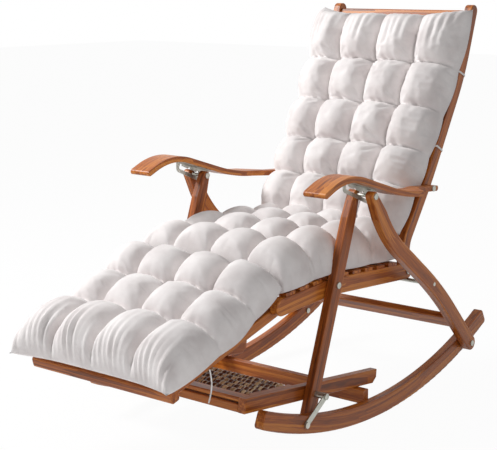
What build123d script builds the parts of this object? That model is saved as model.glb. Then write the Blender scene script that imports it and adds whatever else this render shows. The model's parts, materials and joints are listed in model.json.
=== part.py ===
"""Folding bamboo rocking chair with a reclining back, a pull-out legrest,
a roller foot massager and a tufted pad.

Millimetres, +Z up. The chair faces -Y, and the sitter's left is +X. Side members
are flat bars in layers across the width. Each is drawn in the side plane as
(y, z), with y counted from the front tip of the armrests and z from the floor, and
the finished chair is then centred over its own footprint.
"""
import math
import os

from build123d import *

# Layers across the width, half chair, from the seat rails outwards
seat_inner_half = 198.0
member_thick = 22.0
layer_gap = 1.5
rocker_thick = 24.0
strip_thick = 2.5
strip_gap = 0.75
arm_inner_half = 237.0
arm_width = 60.0
edge_ease = 2.5
slat_ease_share = 0.25

rail_in = seat_inner_half
rail_out = rail_in + member_thick
front_leg_in = rail_out + layer_gap
front_leg_out = front_leg_in + member_thick
rocker_in = front_leg_out + layer_gap
rocker_out = rocker_in + rocker_thick
strip_in = rocker_out + strip_gap
strip_out = strip_in + strip_thick
rear_leg_in = strip_out + strip_gap
rear_leg_out = rear_leg_in + member_thick
arm_outer_half = arm_inner_half + arm_width

# Bolts, pins and running clearances
bolt_radius = 4.0
run_clear = 0.05
head_radius = 7.5
head_thick = 3.0
touch_gap = 0.3
path_tolerance = 0.001

# Rockers
rock_radius = 1130.0
rock_contact_y = 250.0
rock_height = 42.0
rock_front_y = -176.0
rock_rear_y = 773.0
rock_flat_length = 100.0
rock_end_round = 9.0
rear_pivot_y = 665.0
hook_bolt_y = -26.0
cross_y = 248.0
cross_depth = 20.0
cross_height = 36.0
strip_width = 15.0
hook_mouth = 20.0

rock_flat_drop = rock_radius - math.sqrt(rock_radius**2 - (rock_flat_length / 2) ** 2)
rock_mid_radius = rock_radius - rock_height / 2
rock_top_radius = rock_radius - rock_height
rock_centre_z = rock_radius - rock_flat_drop


def rock_point(y, radius):
    """Point at a radius from the rocker's centre, square to its centre line at a given y."""
    lean = (y - rock_contact_y) / rock_mid_radius
    return (rock_contact_y + radius * lean, rock_centre_z - radius * math.sqrt(1 - lean**2))


def rock_mid(y):
    """Point on the rocker's centre line at a given y."""
    return rock_point(y, rock_mid_radius)


# Pivots in the side plane
top_pin = (200.0, 551.0)
foot_bolt = (46.0, 104.0)
seat_bolt_share = 0.4586
arm_pivot = (534.0, 524.0)
rear_pivot = rock_mid(rear_pivot_y)
hook_bolt = rock_mid(hook_bolt_y)
seat_bolt = tuple(t + (f - t) * seat_bolt_share for t, f in zip(top_pin, foot_bolt))
back_pivot = tuple(a - t + s for a, t, s in zip(arm_pivot, top_pin, seat_bolt))

# Legs
front_leg_width = 34.0
front_leg_foot_z = 48.0
rear_leg_width = 38.0
leg_top_radius = 11.0
leg_top_taper = 60.0
rear_leg_knee = (275.0, 437.0)
rear_leg_shin = (500.0, 272.0)
rear_leg_radii = [330.0, 1100.0]
rear_cross_share = 0.58
rear_cross_height = 44.0
rear_cross_thick = 18.0
rod_radius = 5.0
rod_angle = -74.0

# Seat
seat_rail_height = 40.0
seat_front = (-50.0, 324.0)
seat_crown = (140.0, 337.0)
seat_crown_radius = 900.0
seat_slat_width = 34.0
seat_slat_thick = 8.0
seat_slat_count = 9
seat_front_bar_depth = 20.0
seat_front_bar_height = 14.0
lap_gap = 0.6
lap_radius = 36.0

# Legrest
legrest_tilt = 16.5
legrest_pivot = (-20.0, 331.0)
legrest_drop = 17.0
legrest_reach = 385.0
legrest_tail = 20.0
legrest_stroke = 300.0
legrest_rail_height = 24.0
legrest_rail_thick = 20.0
legrest_bar_half = 210.5
legrest_bar_depth = 25.0
legrest_slat_width = 34.0
legrest_slat_thick = 6.0
legrest_slat_count = 7
guide_wall = 2.0
guide_length = 24.0
guide_clear = 0.5
guide_pin_depth = 10.0

# Back
back_rail_width = 32.0
back_heel = (452.0, 388.0)
back_waist = (556.0, 540.0)
back_shoulder = (705.0, 800.0)
back_top = (757.0, 962.0)
back_radii = [75.0, 1500.0, 660.0]
back_slat_width = 34.0
back_slat_thick = 9.0
back_slat_count = 13
back_slat_first = 90.0
back_top_bar_width = 46.0
back_bar_thick = 18.0
hinge_dowel_radius = 18.0

# Armrests
arm_thick = 14.0
arm_tip = (7.0, 577.0)
arm_crest = (92.0, 613.0)
arm_dip = (330.0, 538.0)
arm_radii = [180.0, 560.0]
arm_shoulder_y = 405.0
arm_waist_y = 455.0
arm_plan_depth = 180.0
arm_end_margin = 16.0
arm_tongue_width = 24.0
slot_slope = -22.0
notch_pitch = 33.7
notches_ahead = 2
notches_behind = 1
plate_thick = 2.5
plate_margin = 9.0
notch_rise = 5.0
slot_clear = 0.6
flange_width = 21.0
screw_radius = 2.0
screw_bite = 8.0
screw_seat = 0.1
screw_head_radius = 3.5
screw_head_thick = 1.5
screw_inset = 14.0

# Foot massager, in its own slope about the foot bolt
massager_slope = -5.7
massager_front = 227.0
massager_rear = 286.0
massager_height = 34.0
massager_bevel = 14.0
fascia_thick = 22.0
fascia_height = 19.0
plank_width = 38.0
plank_setback = 3.0
plank_thick = 10.0
plank_gap = 4.0
plank_ease = 2.0
roller_count = 5
roller_pitch = 29.5
roller_first = -167.0
roller_radius = 12.5
roller_waist = 9.0
roller_beads = 26
roller_lift = 6.0
axle_radius = 3.0
carrier_thick = 12.0
carrier_height = 20.0
carrier_margin = 18.0
axle_seat = 6.0
roller_end_gap = 2.0

# Pad, in rows of lobes between its tufts
pad_gap = 0.8
pad_seat_half = 206.0
pad_front_half = 232.0
pad_foot_half = 246.0
pad_back_half = 238.0
pad_taper = 0.25
pad_height = 100.0
pad_edge_height = 64.0
pad_edge_least = 0.6
pad_side_share = 0.2
pad_lobes = 4
pad_lobe_rise = 14.0
pad_crest = 1.0
pad_valley = 0.3
pad_end = 0.15
pad_legrest_rows = [160.0, 132.0, 104.0]
pad_seat_rows = [1.0, 1.0, 1.0, 1.0]
pad_back_rows = [108.0, 112.0, 118.0, 132.0, 158.0]
pad_foot_over = 20.0
pad_knee_reach = 200.0
pad_knee_radius = 250.0
pad_joint_gap = 4.0
pad_seat_end = 40.0
pad_back_start = 114.0
pad_top_margin = 40.0
pad_arm_margin = 110.0

# Pad ties, hanging from the underside of the legrest pad
tie_radius = 1.6
tie_half = 228.0
tie_reach = 300.0
tie_route = [(0.0, 0.0), (5.0, -17.0), (7.0, -37.0), (3.0, -56.0), (-4.0, -72.0)]
tie_ease = 0.45

nodes = {}


def unit(start, end):
    """Unit vector from start to end in the side plane."""
    length = math.dist(start, end)
    return ((end[0] - start[0]) / length, (end[1] - start[1]) / length)


def along(start, direction, distance):
    """Point a distance from start along a direction in the side plane."""
    return (start[0] + direction[0] * distance, start[1] + direction[1] * distance)


def turned(vector, degrees):
    """Vector in the side plane turned from +Y towards +Z."""
    angle = math.radians(degrees)
    return (
        vector[0] * math.cos(angle) - vector[1] * math.sin(angle),
        vector[0] * math.sin(angle) + vector[1] * math.cos(angle),
    )


def prism(profile, x_start, x_end):
    """Side profile carried across the width from x_start to x_end."""
    return extrude(Plane.YZ.offset(x_start) * profile, amount=x_end - x_start)


def eased(solid, radius=edge_ease):
    """Solid with the edges of its two side faces rounded."""
    sides = solid.faces().sort_by(Axis.X)
    return fillet(sides[0].edges() + sides[-1].edges(), radius)


def tapered(start, start_radius, end, end_radius):
    """Profile wrapped round two circles of the side plane."""
    first = Pos(*start) * Circle(start_radius)
    last = Pos(*end) * Circle(end_radius)
    return make_face(make_hull(first.edges() + last.edges()))


def straight_bar(start, end, width, x_start, x_end):
    """Straight side member with round ends."""
    return prism(tapered(start, width / 2, end, width / 2), x_start, x_end)


def bent_bar(path, width, x_start, x_end):
    """Bent side member with round ends along a path in the side plane."""
    return prism(SlotArc(path, width), x_start, x_end)


def rod(point, radius, x_start, x_end):
    """Round bar across the width through a point of the side plane."""
    return prism(Pos(*point) * Circle(radius), x_start, x_end)


def headed_bolt(point, radius, x_start, x_end):
    """Bolt with a round head on each end, its shank from x_start to x_end."""
    shank = rod(point, radius, x_start, x_end)
    inner = rod(point, head_radius, x_start - head_thick, x_start)
    outer = rod(point, head_radius, x_end, x_end + head_thick)
    return shank + inner + outer


def slat(centre, tangent, width, thick, half_length):
    """Flat cross slat centred on a point, its width along the tangent."""
    plane = Plane(origin=(0, *centre), x_dir=(1, 0, 0), z_dir=(0, -tangent[1], tangent[0]))
    board = plane * Box(2 * half_length, width, thick)
    return fillet(board.edges().filter_by(Axis.X), slat_ease_share * thick)


def pair(name, solid):
    """Keeps a side member and its mirror image as two nodes."""
    nodes[f"{name}_left"] = solid
    nodes[f"{name}_right"] = mirror(solid, about=Plane.YZ)


def both(name, solid):
    """Keeps a side piece and its mirror image as one node."""
    nodes[name] = Compound(children=[solid, mirror(solid, about=Plane.YZ)])


def group(name, solids):
    """Keeps several separate solids as one node."""
    nodes[name] = Compound(children=list(solids))


# Rockers, cut square at both ends and planed flat for a short length where they touch the floor


def rock_arc(radius):
    """Arc of a rocker's edge from its front end to its rear end."""
    return ThreePointArc(*(rock_point(y, radius) for y in (rock_front_y, rock_contact_y, rock_rear_y)))


rock_under = rock_arc(rock_radius)
rock_over = rock_arc(rock_top_radius)
rock_ends = [Line(rock_under @ share, rock_over @ share) for share in (0, 1)]
rocker = prism(make_face([rock_under, rock_over] + rock_ends), rocker_in, rocker_out)
rocker = eased(fillet(rocker.edges().filter_by(Axis.X), rock_end_round))
floor_cut = Pos((rocker_in + rocker_out) / 2, rock_contact_y, -rock_height / 2)
rocker -= floor_cut * Box(2 * rocker_thick, 2 * rock_flat_length, rock_height)
rocker -= rod(rear_pivot, bolt_radius, rocker_in, rocker_out)
rocker -= rod(hook_bolt, bolt_radius, rocker_in, rocker_out)
pair("rocker", rocker)

massager_axis = turned((1, 0), massager_slope)
cross_reach = (cross_y - foot_bolt[0]) / massager_axis[0]
cross_above = along(foot_bolt, massager_axis, cross_reach)
cross_seat = along(cross_above, turned(massager_axis, -90), massager_height / 2)
cross_top = cross_seat[1] - cross_depth / 2 * abs(massager_axis[1]) - touch_gap
crossbar = Pos(0, cross_y, cross_top - cross_height / 2) * Box(2 * rocker_in, cross_depth, cross_height)
nodes["rocker_crossbar"] = fillet(crossbar.edges().filter_by(Axis.X), edge_ease)

both("hook_bolts", rod(hook_bolt, bolt_radius, rocker_in, strip_out) + rod(
    hook_bolt, head_radius, strip_out + touch_gap, strip_out + touch_gap + head_thick
) + rod(hook_bolt, bolt_radius, strip_out, strip_out + touch_gap))
both("rear_pivot_bolts", headed_bolt(rear_pivot, bolt_radius, rocker_in, rear_leg_out))

# Hook strips, which pivot on the rockers and drop over the foot bolts
strip = straight_bar(hook_bolt, foot_bolt, strip_width, strip_in, strip_out)
strip -= rod(hook_bolt, bolt_radius + run_clear, strip_in, strip_out)
hook_axis = unit(hook_bolt, foot_bolt)
hook_exit = along(foot_bolt, turned(hook_axis, -90), hook_mouth)
strip -= straight_bar(foot_bolt, hook_exit, 2 * (bolt_radius + touch_gap), strip_in, strip_out)
pair("hook_strip", strip)

# Rear legs with their crossbar and the rod that the seat rests on
rear_start = along(top_pin, unit(top_pin, rear_leg_knee), leg_top_taper)
rear_path = FilletPolyline(rear_start, rear_leg_knee, rear_leg_shin, rear_pivot, radius=rear_leg_radii)
rear_leg = bent_bar(rear_path, rear_leg_width, rear_leg_in, rear_leg_out)
rear_leg += prism(tapered(top_pin, leg_top_radius, rear_start, rear_leg_width / 2), rear_leg_in, rear_leg_out)
rear_leg = eased(rear_leg)
rear_leg -= rod(top_pin, bolt_radius + run_clear, rear_leg_in, rear_leg_out)
rear_leg -= rod(rear_pivot, bolt_radius + run_clear, rear_leg_in, rear_leg_out)
rod_offset = turned((seat_rail_height / 2 + rod_radius + touch_gap, 0), rod_angle)
rod_point = (back_pivot[0] + rod_offset[0], back_pivot[1] + rod_offset[1])
rear_leg -= rod(rod_point, rod_radius, rear_leg_in, rear_leg_out)
pair("rear_leg", rear_leg)
shin_axis = unit(rear_leg_shin, rear_pivot)
rear_cross_point = along(rear_leg_shin, shin_axis, rear_cross_share * math.dist(rear_leg_shin, rear_pivot))
nodes["rear_leg_crossbar"] = slat(
    rear_cross_point, shin_axis, rear_cross_height, rear_cross_thick, rear_leg_in
)
nodes["seat_rest_rod"] = rod(rod_point, rod_radius, -rear_leg_out, rear_leg_out)
both("top_pins", headed_bolt(top_pin, bolt_radius, front_leg_in, rear_leg_out))

# Front legs and the bolts at their feet
leg_axis = unit(top_pin, foot_bolt)
leg_foot = along(top_pin, leg_axis, (front_leg_foot_z - top_pin[1]) / leg_axis[1])
leg_start = along(top_pin, leg_axis, leg_top_taper)
front_leg = straight_bar(leg_start, leg_foot, front_leg_width, front_leg_in, front_leg_out)
leg_top = tapered(top_pin, leg_top_radius, leg_start, front_leg_width / 2)
front_leg += prism(leg_top, front_leg_in, front_leg_out)
front_leg = eased(front_leg)
front_leg -= rod(top_pin, bolt_radius + run_clear, front_leg_in, front_leg_out)
front_leg -= rod(seat_bolt, bolt_radius, front_leg_in, front_leg_out)
front_leg -= rod(foot_bolt, bolt_radius, front_leg_in, front_leg_out)
pair("front_leg", front_leg)
foot_shank = rod(foot_bolt, bolt_radius, rail_in + touch_gap, strip_out + touch_gap)
foot_head = rod(foot_bolt, head_radius, strip_out + touch_gap, strip_out + touch_gap + head_thick)
both("foot_bolts", foot_shank + foot_head)
spacer = rod(foot_bolt, head_radius, front_leg_out, rocker_out)
both("foot_spacers", spacer - rod(foot_bolt, bolt_radius, front_leg_out, rocker_out))
seat_shank = rod(seat_bolt, bolt_radius, rail_in + touch_gap, front_leg_out)
both("seat_bolts", seat_shank + rod(seat_bolt, head_radius, front_leg_out, front_leg_out + head_thick))

# Seat rails, half-lapped at the back hinge, with slats and a front bar
lap_x = (rail_in + rail_out) / 2
lap_ring = Pos(*back_pivot) * Circle(lap_radius)
seat_path = FilletPolyline(seat_front, seat_crown, back_pivot, radius=seat_crown_radius)
seat_rail = eased(bent_bar(seat_path, seat_rail_height, rail_in, rail_out))
seat_rail -= prism(lap_ring, rail_in, lap_x + lap_gap / 2)
seat_rail -= rod(back_pivot, bolt_radius + run_clear, rail_in, rail_out)
seat_rail -= rod(seat_bolt, bolt_radius + run_clear, rail_in, rail_out)
seat_rail -= rod(legrest_pivot, bolt_radius + run_clear, rail_in, rail_in + guide_pin_depth)
pair("seat_rail", seat_rail)


def station(path, distance):
    """Point and unit tangent at a distance along a path in the side plane."""
    share = distance / path.length
    point = path @ share
    tangent = path % share
    return (point.X, point.Y), (tangent.X, tangent.Y)


def slat_row(path, first, last, count, width, thick, lift, half_length):
    """Evenly spaced cross slats that lie a lift to the left of a path."""
    row = []
    for index in range(count):
        centre, tangent = station(path, first + (last - first) * index / (count - 1))
        row.append(slat(along(centre, turned(tangent, 90), lift), tangent, width, thick, half_length))
    return row


seat_slat_lift = (seat_rail_height + seat_slat_thick) / 2
seat_slat_last = seat_path.length - lap_radius - seat_slat_width
group("seat_slats", slat_row(
    seat_path, seat_slat_width, seat_slat_last, seat_slat_count,
    seat_slat_width, seat_slat_thick, seat_slat_lift, rail_out - edge_ease,
))
front_bar_z = seat_front[1] + seat_rail_height / 2 - edge_ease - seat_front_bar_height / 2
front_bar = Pos(0, seat_front[0], front_bar_z) * Box(2 * rail_in, seat_front_bar_depth, seat_front_bar_height)
nodes["seat_front_bar"] = fillet(front_bar.edges().filter_by(Axis.X), edge_ease)
rear_bar_at, rear_bar_axis = station(seat_path, seat_slat_last + seat_slat_width)
nodes["seat_rear_bar"] = slat(
    rear_bar_at, rear_bar_axis, seat_front_bar_depth, seat_front_bar_height, rail_in
)

# Legrest that slides out under the seat in two pivoting guides
slope_out = turned((-1, 0), legrest_tilt)
slope_up = turned(slope_out, -90)
legrest_zero = along(legrest_pivot, slope_up, -legrest_drop)
legrest_rail_out = rail_in - guide_wall - guide_clear - layer_gap
legrest_rail_in = legrest_rail_out - legrest_rail_thick
rail_plane = Plane(origin=(0, *legrest_zero), x_dir=(1, 0, 0), z_dir=(0, *slope_up))
rail_length = legrest_tail + legrest_reach
rail_mid_x = (legrest_rail_in + legrest_rail_out) / 2
rail_mid_y = (legrest_reach - legrest_tail) / 2
legrest_rail = rail_plane * Pos(rail_mid_x, -rail_mid_y, 0) * Box(
    legrest_rail_thick, rail_length, legrest_rail_height
)
pair("legrest_rail", fillet(legrest_rail.edges().group_by(SortBy.LENGTH)[-1], edge_ease))
bar_centre = along(legrest_zero, slope_out, legrest_reach + legrest_bar_depth / 2)
nodes["legrest_front_bar"] = slat(
    bar_centre, slope_out, legrest_bar_depth, legrest_bar_depth, legrest_bar_half
)
legrest_slat_lift = (legrest_rail_height - legrest_slat_thick) / 2 - edge_ease
slat_first = guide_length + legrest_slat_width
slat_step = (legrest_reach - slat_first - legrest_slat_width / 2) / (legrest_slat_count - 1)
group("legrest_slats", [
    slat(
        along(along(legrest_zero, slope_out, slat_first + slat_step * index), slope_up, legrest_slat_lift),
        slope_out, legrest_slat_width, legrest_slat_thick, legrest_rail_in,
    )
    for index in range(legrest_slat_count)
])
channel_x = legrest_rail_thick + 2 * guide_clear
channel_z = legrest_rail_height + 2 * guide_clear
channel = Pos(guide_wall / 2, 0, 0) * Box(channel_x + guide_wall, guide_length, channel_z + 2 * guide_wall)
channel -= Box(channel_x, guide_length, channel_z)
channel = rail_plane * Pos(rail_mid_x, 0, 0) * channel
channel_out = rail_mid_x + channel_x / 2 + guide_wall
ear_foot = along(legrest_zero, slope_up, channel_z / 2)
ear = straight_bar(legrest_pivot, ear_foot, guide_length / 2, channel_out - guide_wall, channel_out)
guide_pin = rod(legrest_pivot, bolt_radius, channel_out, rail_in + guide_pin_depth - touch_gap)
both("legrest_guides", channel + ear + guide_pin)

# Back rails with their slats and the bar between their tops
back_path = FilletPolyline(back_pivot, back_heel, back_waist, back_shoulder, back_top, radius=back_radii)
back_rail = eased(bent_bar(back_path, back_rail_width, rail_in, rail_out))
back_rail -= prism(lap_ring, lap_x - lap_gap / 2, rail_out)
back_rail -= rod(back_pivot, bolt_radius + run_clear, rail_in, rail_out)
pair("back_rail", back_rail)
nodes["back_hinge_rod"] = headed_bolt(back_pivot, bolt_radius, -rail_out - touch_gap, rail_out + touch_gap)
dowel_half = rail_in - touch_gap
hinge_dowel = rod(back_pivot, hinge_dowel_radius, -dowel_half, dowel_half)
nodes["back_hinge_dowel"] = hinge_dowel - rod(back_pivot, bolt_radius, -dowel_half, dowel_half)
back_slat_lift = (back_rail_width - back_slat_thick) / 2
back_slat_last = back_path.length - back_top_bar_width - back_slat_width
group("back_slats", slat_row(
    back_path, back_slat_first, back_slat_last, back_slat_count,
    back_slat_width, back_slat_thick, back_slat_lift, rail_in,
))
top_bar_at, top_bar_axis = station(back_path, back_path.length - back_top_bar_width / 2)
nodes["back_top_bar"] = slat(top_bar_at, top_bar_axis, back_top_bar_width, back_bar_thick, rail_in)

# Armrests, bent slabs that narrow to a tongue beside the back rails
arm_axis = unit(arm_dip, arm_pivot)
arm_end = along(arm_pivot, arm_axis, arm_end_margin)
arm_path = FilletPolyline(arm_tip, arm_crest, arm_dip, arm_end, radius=arm_radii)
tongue_in = rail_out + layer_gap
tongue_out = tongue_in + arm_tongue_width
arm_front_y = arm_tip[0] - arm_thick
arm_back_y = arm_end[0] + arm_thick
plan = Polyline(
    (arm_inner_half, arm_front_y), (arm_outer_half, arm_front_y), (arm_outer_half, arm_shoulder_y),
    (tongue_out, arm_waist_y), (tongue_out, arm_back_y), (tongue_in, arm_back_y),
    (tongue_in, arm_waist_y), (arm_inner_half, arm_shoulder_y), close=True,
)
plan_block = Pos(0, 0, arm_pivot[1] - arm_width) * extrude(make_face(plan), amount=arm_plan_depth)
armrest = bent_bar(arm_path, arm_thick, tongue_in, arm_outer_half) & plan_block
armrest -= rod(arm_pivot, bolt_radius, tongue_in, tongue_out)
arm_shank = rod(arm_pivot, bolt_radius, rail_out + touch_gap, tongue_out)
arm_head = rod(arm_pivot, head_radius, tongue_out, tongue_out + head_thick)
both("arm_pivot_bolts", arm_shank + arm_head)

# Slotted plates under the armrests, with a notch for each recline step


def distance_to(path, y):
    """Distance along a path that runs towards +Y, to where it passes a given y."""
    low = 0.0
    high = path.length
    while high - low > path_tolerance:
        middle = (low + high) / 2
        if station(path, middle)[0][0] < y:
            low = middle
        else:
            high = middle
    return low


slot_axis = turned((1, 0), slot_slope)
slot_front = along(top_pin, slot_axis, -notch_pitch * notches_ahead)
slot_rear = along(top_pin, slot_axis, notch_pitch * notches_behind)
slot_width = 2 * (bolt_radius + slot_clear)
slot = tapered(slot_front, slot_width / 2, slot_rear, slot_width / 2)
for index in range(notches_ahead + notches_behind + 1):
    notch_foot = along(slot_front, slot_axis, notch_pitch * index)
    notch_head = along(notch_foot, turned(slot_axis, 90), notch_rise)
    slot += tapered(notch_foot, slot_width / 2, notch_head, slot_width / 2)
plate_reach = slot_width / 2 + plate_margin
web_front = slot_front[0] - plate_reach
web_rear = slot_rear[0] + plate_reach
arm_sky = arm_crest[1] + arm_width
over_line = Polyline(arm_end, (arm_end[0], arm_sky), (arm_tip[0], arm_sky), arm_tip)
over_arm = make_face(arm_path.edges() + over_line.edges()) + SlotArc(arm_path, arm_thick)
plate_span = make_face(Polyline(
    (web_front, slot_front[1]), (web_rear, slot_rear[1]),
    (web_rear, arm_sky), (web_front, arm_sky), close=True,
))
web = tapered(slot_front, plate_reach, slot_rear, plate_reach) + plate_span - over_arm - slot
flange = (SlotArc(arm_path, arm_thick + 2 * plate_thick) & plate_span) - over_arm
plate_mid = (rocker_in + rocker_out) / 2
arm_plate = prism(web, plate_mid - plate_thick / 2, plate_mid + plate_thick / 2)
arm_plate += prism(flange, plate_mid - flange_width / 2, plate_mid + flange_width / 2)
screw_x = plate_mid + (flange_width + plate_thick) / 4
screw_length = screw_bite + plate_thick + screw_seat
screws = []
for screw_y in (web_front + screw_inset, web_rear - screw_inset):
    screw_at, screw_axis = station(arm_path, distance_to(arm_path, screw_y))
    down = turned(screw_axis, -90)
    under = along(screw_at, down, arm_thick / 2)
    place = Plane(origin=(screw_x, *under), x_dir=(1, 0, 0), z_dir=(0, *down))
    shank_at = place * Pos(0, 0, screw_length / 2 - screw_bite)
    shank = shank_at * Cylinder(screw_radius, screw_length)
    head_at = place * Pos(0, 0, plate_thick + screw_seat + screw_head_thick / 2)
    head = head_at * Cylinder(screw_head_radius, screw_head_thick)
    armrest -= shank
    arm_plate -= shank
    screws.append(shank + head)
pair("armrest", armrest)
pair("arm_plate", arm_plate)
group("plate_screws", screws + [mirror(screw, about=Plane.YZ) for screw in screws])

# Foot massager between the front legs, its rear end resting on the rocker crossbar
massager_place = Pos(0, *foot_bolt) * Rot(massager_slope, 0, 0)
massager_bottom = -massager_height / 2
rail_outline = Polyline(
    (-massager_front, massager_bottom), (massager_rear - massager_bevel, massager_bottom),
    (massager_rear, massager_bottom + massager_bevel), (massager_rear, -massager_bottom),
    (-massager_front, -massager_bottom), close=True,
)
massager_rail = eased(prism(make_face(rail_outline), rail_in, rail_out))
massager_rail -= rod((0, 0), bolt_radius + run_clear, rail_in, rail_out)
pair("massager_rail", massager_place * massager_rail)


def massager_board(front, bottom, width, thick):
    """Cross board of the massager, from its front edge and its underside."""
    board = Pos(0, front + width / 2, bottom + thick / 2) * Box(2 * rail_in, width, thick)
    return massager_place * fillet(board.edges().filter_by(Axis.X), plank_ease)


plank_bottom = massager_bottom + fascia_height + plank_gap
nodes["massager_fascia"] = massager_board(-massager_front, massager_bottom, fascia_thick, fascia_height)
plank_front = plank_setback - massager_front
nodes["massager_plank"] = massager_board(plank_front, plank_bottom, plank_width, plank_thick)

# Beaded rollers on axles between two carriers
roller_span = (roller_count - 1) * roller_pitch
roller_points = [(roller_first + roller_pitch * index, roller_lift) for index in range(roller_count)]
carrier_in = rail_in - carrier_thick
axle_half = carrier_in + axle_seat
carrier = Pos(rail_in - carrier_thick / 2, roller_first + roller_span / 2, roller_lift) * Box(
    carrier_thick, roller_span + 2 * carrier_margin, carrier_height
)
for point in roller_points:
    carrier -= rod(point, axle_radius, carrier_in, axle_half)
pair("roller_carrier", massager_place * carrier)
axles = [rod(point, axle_radius, -axle_half, axle_half) for point in roller_points]
group("roller_axles", [massager_place * axle for axle in axles])
roller_half = carrier_in - roller_end_gap
roller_bore = axle_radius + run_clear
bead_pitch = 2 * roller_half / roller_beads
bead_line = [
    Line((-roller_half, roller_waist), (-roller_half, roller_bore)),
    Line((-roller_half, roller_bore), (roller_half, roller_bore)),
    Line((roller_half, roller_bore), (roller_half, roller_waist)),
]
for index in range(roller_beads):
    bead_start = bead_pitch * index - roller_half
    bead_top = (bead_start + bead_pitch / 2, roller_radius)
    bead_end = (bead_start + bead_pitch, roller_waist)
    bead_line.append(ThreePointArc((bead_start, roller_waist), bead_top, bead_end))
roller = revolve(make_face(bead_line), axis=Axis.X)
for index, point in enumerate(roller_points):
    nodes[f"roller_{index + 1}"] = massager_place * Pos(0, *point) * roller

# Tufted pad in three runs: rows of lobes between valleys, on a flat underside


def pad_section(point, tangent, half, fullness):
    """Section across the pad: flat underside, drawn-in sides and a row of lobes."""
    edge = pad_edge_height * (pad_edge_least + (1 - pad_edge_least) * fullness)
    crown = (pad_height - pad_edge_height) * fullness
    bulge = pad_side_share * edge

    def top(x):
        return edge + crown * (1 - (x / half) ** 2)

    seams = [half * (1 - 2 * index / pad_lobes) for index in range(pad_lobes + 1)]
    outline = [Line((-half, 0), (half, 0)), ThreePointArc((half, 0), (half + bulge, edge / 2), (half, edge))]
    for start, end in zip(seams, seams[1:]):
        middle = (start + end) / 2
        crest = top(middle) + pad_lobe_rise * fullness
        outline.append(ThreePointArc((start, top(start)), (middle, crest), (end, top(end))))
    outline.append(ThreePointArc((-half, edge), (-half - bulge, edge / 2), (-half, 0)))
    plane = Plane(origin=(0, *point), x_dir=(1, 0, 0), z_dir=(0, -tangent[0], -tangent[1]))
    return plane * make_face(outline)


def pad_rows(path, start, end, rows, lift, half_at, ends):
    """Sections of a run of the pad, its rows in proportion and a valley between each two."""
    sections = []
    last = 2 * len(rows)
    stretch = (end - start) / sum(rows)
    for index in range(last + 1):
        rows_before = sum(rows[:index // 2])
        half_row = rows[index // 2] / 2 if index % 2 else 0
        distance = start + stretch * (rows_before + half_row)
        point, tangent = station(path, distance)
        fullness = pad_crest if index % 2 else pad_valley
        if index in (0, last):
            fullness = ends[index // last]
        foot = along(point, turned(tangent, 90), lift)
        sections.append(pad_section(foot, tangent, half_at(distance), fullness))
    return sections


seat_lift = seat_rail_height / 2 + seat_slat_thick + pad_gap
nodes["cushion_seat"] = loft(pad_rows(
    seat_path, 0, seat_path.length - pad_seat_end, pad_seat_rows, seat_lift,
    lambda distance: max(pad_seat_half, pad_front_half - pad_taper * distance), (pad_valley, pad_valley),
), ruled=True)

arm_distance = distance_to(back_path, arm_pivot[0]) + pad_arm_margin
back_lift = back_rail_width / 2 + pad_gap
nodes["cushion_back"] = loft(pad_rows(
    back_path, pad_back_start, back_path.length - pad_top_margin, pad_back_rows, back_lift,
    lambda distance: min(pad_back_half, pad_seat_half + pad_taper * max(0, distance - arm_distance)),
    (pad_valley, pad_end),
), ruled=True)

pad_lift = legrest_bar_depth / 2 + pad_gap
pad_foot_reach = legrest_reach + legrest_bar_depth + pad_foot_over
pad_foot = along(along(legrest_zero, slope_out, pad_foot_reach), slope_up, pad_lift)
pad_knee = along(along(legrest_zero, slope_out, pad_knee_reach), slope_up, pad_lift)
seat_start, seat_tangent = station(seat_path, 0)
pad_brow = along(along(seat_start, turned(seat_tangent, 90), seat_lift), seat_tangent, -pad_joint_gap)
legrest_pad_path = FilletPolyline(pad_foot, pad_knee, pad_brow, radius=pad_knee_radius)
legrest_sections = pad_rows(
    legrest_pad_path, 0, legrest_pad_path.length, pad_legrest_rows, 0,
    lambda distance: pad_foot_half + (pad_front_half - pad_foot_half) * distance / legrest_pad_path.length,
    (pad_end, pad_valley),
)
legrest_sections[-1] = pad_section(pad_brow, seat_tangent, pad_front_half, pad_valley)
nodes["cushion_legrest"] = loft(legrest_sections, ruled=True)

# Ties that hang from the corners of the legrest pad
tie_start = along(along(legrest_zero, slope_out, tie_reach), slope_up, pad_lift - touch_gap)
tie_points = [Vector(tie_half, tie_start[0] + y, tie_start[1] + z) for y, z in tie_route]
tie_runs = [end - start for start, end in zip(tie_points, tie_points[1:])]
tie_radii = [
    tie_ease * min(first.length, last.length) / math.tan(math.radians(first.get_angle(last) / 2))
    for first, last in zip(tie_runs, tie_runs[1:])
]
tie_path = FilletPolyline(*tie_points, radius=tie_radii)
tie = sweep(Plane(origin=tie_points[0], z_dir=tie_runs[0]) * Circle(tie_radius), path=tie_path)
print("tie radii", [round(radius, 1) for radius in tie_radii])
tie_expected = math.pi * tie_radius**2 * tie_path.length
print("tie volume", round(tie.volume, 2), "section times length", round(tie_expected, 2))
pair("pad_tie", tie)

# The chair stands centred over its own footprint
boxes = [node.bounding_box() for node in nodes.values()]
centre_y = (min(box.min.Y for box in boxes) + max(box.max.Y for box in boxes)) / 2
os.makedirs("parts", exist_ok=True)
for name, node in nodes.items():
    export_step(Pos(0, -centre_y, 0) * node, f"parts/{name}.step")
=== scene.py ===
"""Dresses the folding bamboo rocking chair: wood, metal and bead finishes on the CAD frame, and a tufted pad.

Metres, +Z up, the chair faces -Y and the sitter's left is +X, as in the CAD frame. Side paths are (y, z)
points counted from the front tip of the armrests, as the CAD counts them, and are moved into the frame by its
floor mount.
"""

import json
import logging
import math
from dataclasses import dataclass, field
from enum import Enum

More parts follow.
